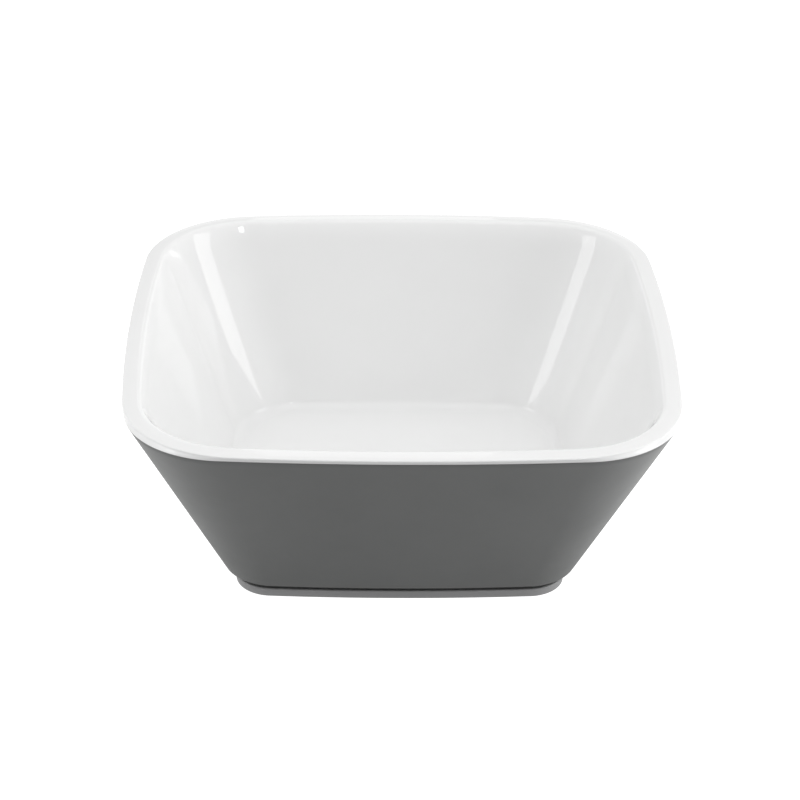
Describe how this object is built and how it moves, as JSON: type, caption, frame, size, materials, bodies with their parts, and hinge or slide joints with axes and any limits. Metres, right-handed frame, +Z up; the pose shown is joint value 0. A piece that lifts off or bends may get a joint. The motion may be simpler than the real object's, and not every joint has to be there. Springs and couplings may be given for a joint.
{
  "type": "square serving bowl",
  "caption": "Square two-tone serving bowl: glossy white inner bowl with a rounded rim, matte grey outer shell with sloping walls, and a low foot ring.",
  "frame": {"origin": "centre of the foot's flat rest face, on the table, under the middle of the bowl", "axes": "+Z up out of the bowl's mouth; +X and +Y square to two sides of the bowl, which is the same from all four sides"},
  "size_m": [0.24, 0.24, 0.096],
  "materials": {
    "white_gloss": "glossy moulded white",
    "grey_matte": "fine matte moulded grey",
    "foot_grey": "fine matte moulded grey, a little lighter than the shell"
  },
  "bodies": {
    "root": {"inner_bowl": "white_gloss", "outer_shell": "grey_matte", "foot_ring": "foot_grey"}
  },
  "joints": []
}
